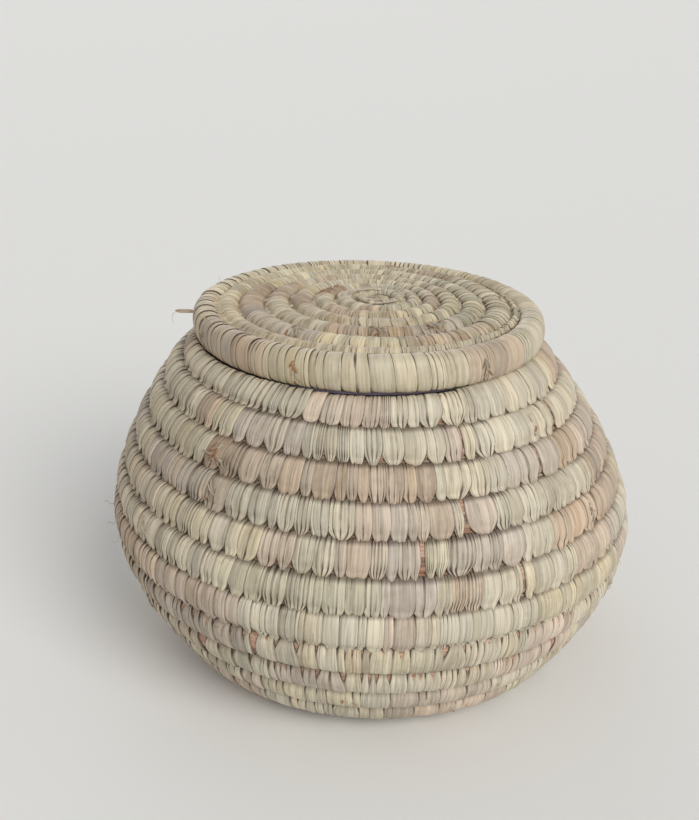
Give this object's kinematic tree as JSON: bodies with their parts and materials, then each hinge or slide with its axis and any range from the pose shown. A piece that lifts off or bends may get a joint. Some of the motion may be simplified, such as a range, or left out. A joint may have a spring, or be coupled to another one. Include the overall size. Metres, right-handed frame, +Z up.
{
  "type": "lidded coiled rice basket",
  "caption": "Bulging storage basket coiled from fibre rope wrapped with palm leaf, with a dark cloth lining and a slightly domed lift-off coiled lid.",
  "frame": {"origin": "centre of the outline at floor level, under the base", "axes": "+Z up; -Y is the front that faces the viewer, +X is the viewer's right"},
  "size_m": [0.363, 0.3626, 0.256],
  "materials": {
    "palm_leaf": "dry palm leaf strips, satin, in cream, tan, grey-green and lilac-grey runs",
    "palm_leaf_base": "worn palm leaf strips, matte",
    "palm_leaf_rim": "smooth wide palm leaf strips, satin",
    "dark_cloth": "dark ribbed cloth, matte",
    "fibre_core": "reddish-brown bundled fibre, matte"
  },
  "bodies": {
    "basket": {"base_knot": "palm_leaf_base", "base_coil": "palm_leaf_base", "foot_coil": "palm_leaf", "lower_belly_coil": "palm_leaf", "upper_belly_coil": "palm_leaf", "shoulder_coil": "palm_leaf", "lining": "dark_cloth", "lining_hem": "dark_cloth"},
    "lid": {"lid_knot": "fibre_core", "lid_coil": "palm_leaf", "lid_rim": "palm_leaf_rim", "lid_locating_ring": "palm_leaf_base"}
  },
  "joints": [
    {"name": "lid_lift", "type": "slide", "parent": "basket", "child": "lid", "axis": [0, 0, 1], "range_m": [0, 0.15]}
  ]
}
